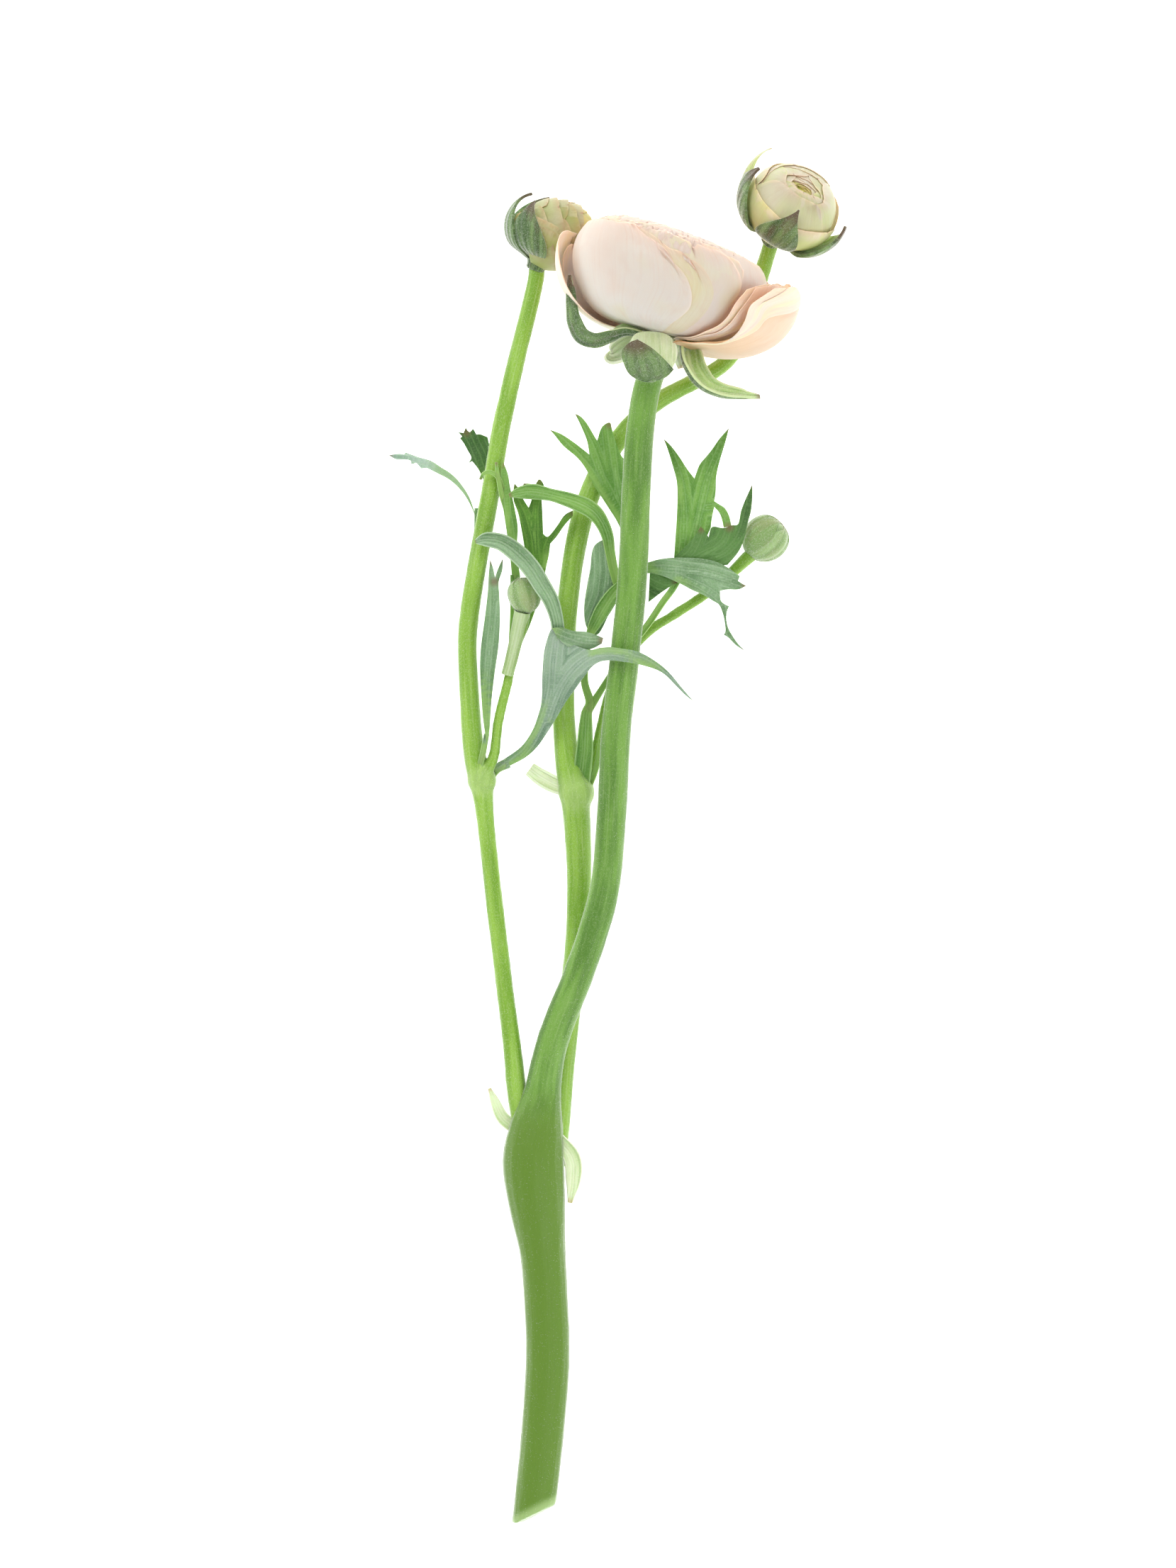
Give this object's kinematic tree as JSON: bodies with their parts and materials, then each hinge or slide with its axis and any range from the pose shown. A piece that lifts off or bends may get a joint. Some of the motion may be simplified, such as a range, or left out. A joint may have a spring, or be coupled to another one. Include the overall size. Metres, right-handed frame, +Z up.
{
  "type": "ranunculus flower",
  "caption": "Cut, branched ranunculus stem lying on its back, with an open pale peach flower, half-open and closed buds and divided leaves.",
  "frame": {"origin": "centre of the bounding box in X and Y, on the surface that the stem lies on", "axes": "+Y along the stem from the cut end to the flower, +X to the right seen from above, +Z up"},
  "size_m": [0.13, 0.3908, 0.0647],
  "materials": {
    "stem_green": "soft matte plant skin with fine pale hairs, mid green",
    "branch_green": "soft matte plant skin, bright yellow-green",
    "pale_sheath": "thin, dry, pale sheath remains",
    "hairy_sepal": "dark green sepals with purple-brown tips and white hairs",
    "peach_petal": "thin satin petals, pale peach-cream with pinkish rims",
    "cream_petal": "thin satin petals, cream to yellow-green with pinkish rims",
    "leaf_green": "matte grey-green leaf, slightly silvery above",
    "dark_leaf": "matte darker green leaf"
  },
  "bodies": {
    "root": {"back_leaf": "dark_leaf", "base_sheath_left": "pale_sheath", "base_sheath_right": "pale_sheath", "flower_body_petal_1": "peach_petal", "flower_body_petal_2": "peach_petal", "flower_body_petal_3": "peach_petal", "flower_body_petal_4": "peach_petal", "flower_body_petal_5": "peach_petal", "flower_body_petal_6": "peach_petal", "flower_inner_petals": "peach_petal", "flower_outer_petal_1": "peach_petal", "flower_outer_petal_2": "peach_petal", "flower_outer_petal_3": "peach_petal", "flower_outer_petal_4": "peach_petal", "flower_outer_petal_5": "peach_petal", "flower_outer_petal_6": "peach_petal", "flower_outer_petal_7": "peach_petal", "flower_receptacle": "hairy_sepal", "flower_sepal_back_left": "hairy_sepal", "flower_sepal_back_right": "hairy_sepal", "flower_sepal_front": "hairy_sepal", "flower_sepal_left": "hairy_sepal", "flower_sepal_right": "hairy_sepal", "left_back_leaf": "dark_leaf", "left_branch": "branch_green", "left_bud_bract_left": "leaf_green", "left_bud_bract_right": "leaf_green", "left_bud_inner_petals": "cream_petal", "left_bud_petal_1": "cream_petal", "left_bud_petal_2": "cream_petal", "left_bud_petal_3": "cream_petal", "left_bud_petal_4": "cream_petal", "left_bud_receptacle": "hairy_sepal", "left_bud_sepal_back": "hairy_sepal", "left_bud_sepal_front": "hairy_sepal", "left_bud_sepal_left": "hairy_sepal", "left_bud_sepal_right": "hairy_sepal", "left_bud_sepal_under": "hairy_sepal", "left_bud_stalk": "branch_green", "left_inner_leaf": "leaf_green", "left_leaf": "leaf_green", "left_small_bud": "hairy_sepal", "main_stem": "stem_green", "mid_node_stub": "pale_sheath", "middle_branch": "branch_green", "middle_leaf": "leaf_green", "right_bud_inner_petals": "cream_petal", "right_bud_petal_1": "cream_petal", "right_bud_petal_2": "cream_petal", "right_bud_petal_3": "cream_petal", "right_bud_petal_4": "cream_petal", "right_bud_receptacle": "hairy_sepal", "right_bud_sepal_back": "hairy_sepal", "right_bud_sepal_front": "hairy_sepal", "right_bud_sepal_left": "hairy_sepal", "right_bud_sepal_right": "hairy_sepal", "right_bud_sepal_under": "hairy_sepal", "right_bud_stalk": "branch_green", "right_small_bud": "hairy_sepal"}
  },
  "joints": []
}
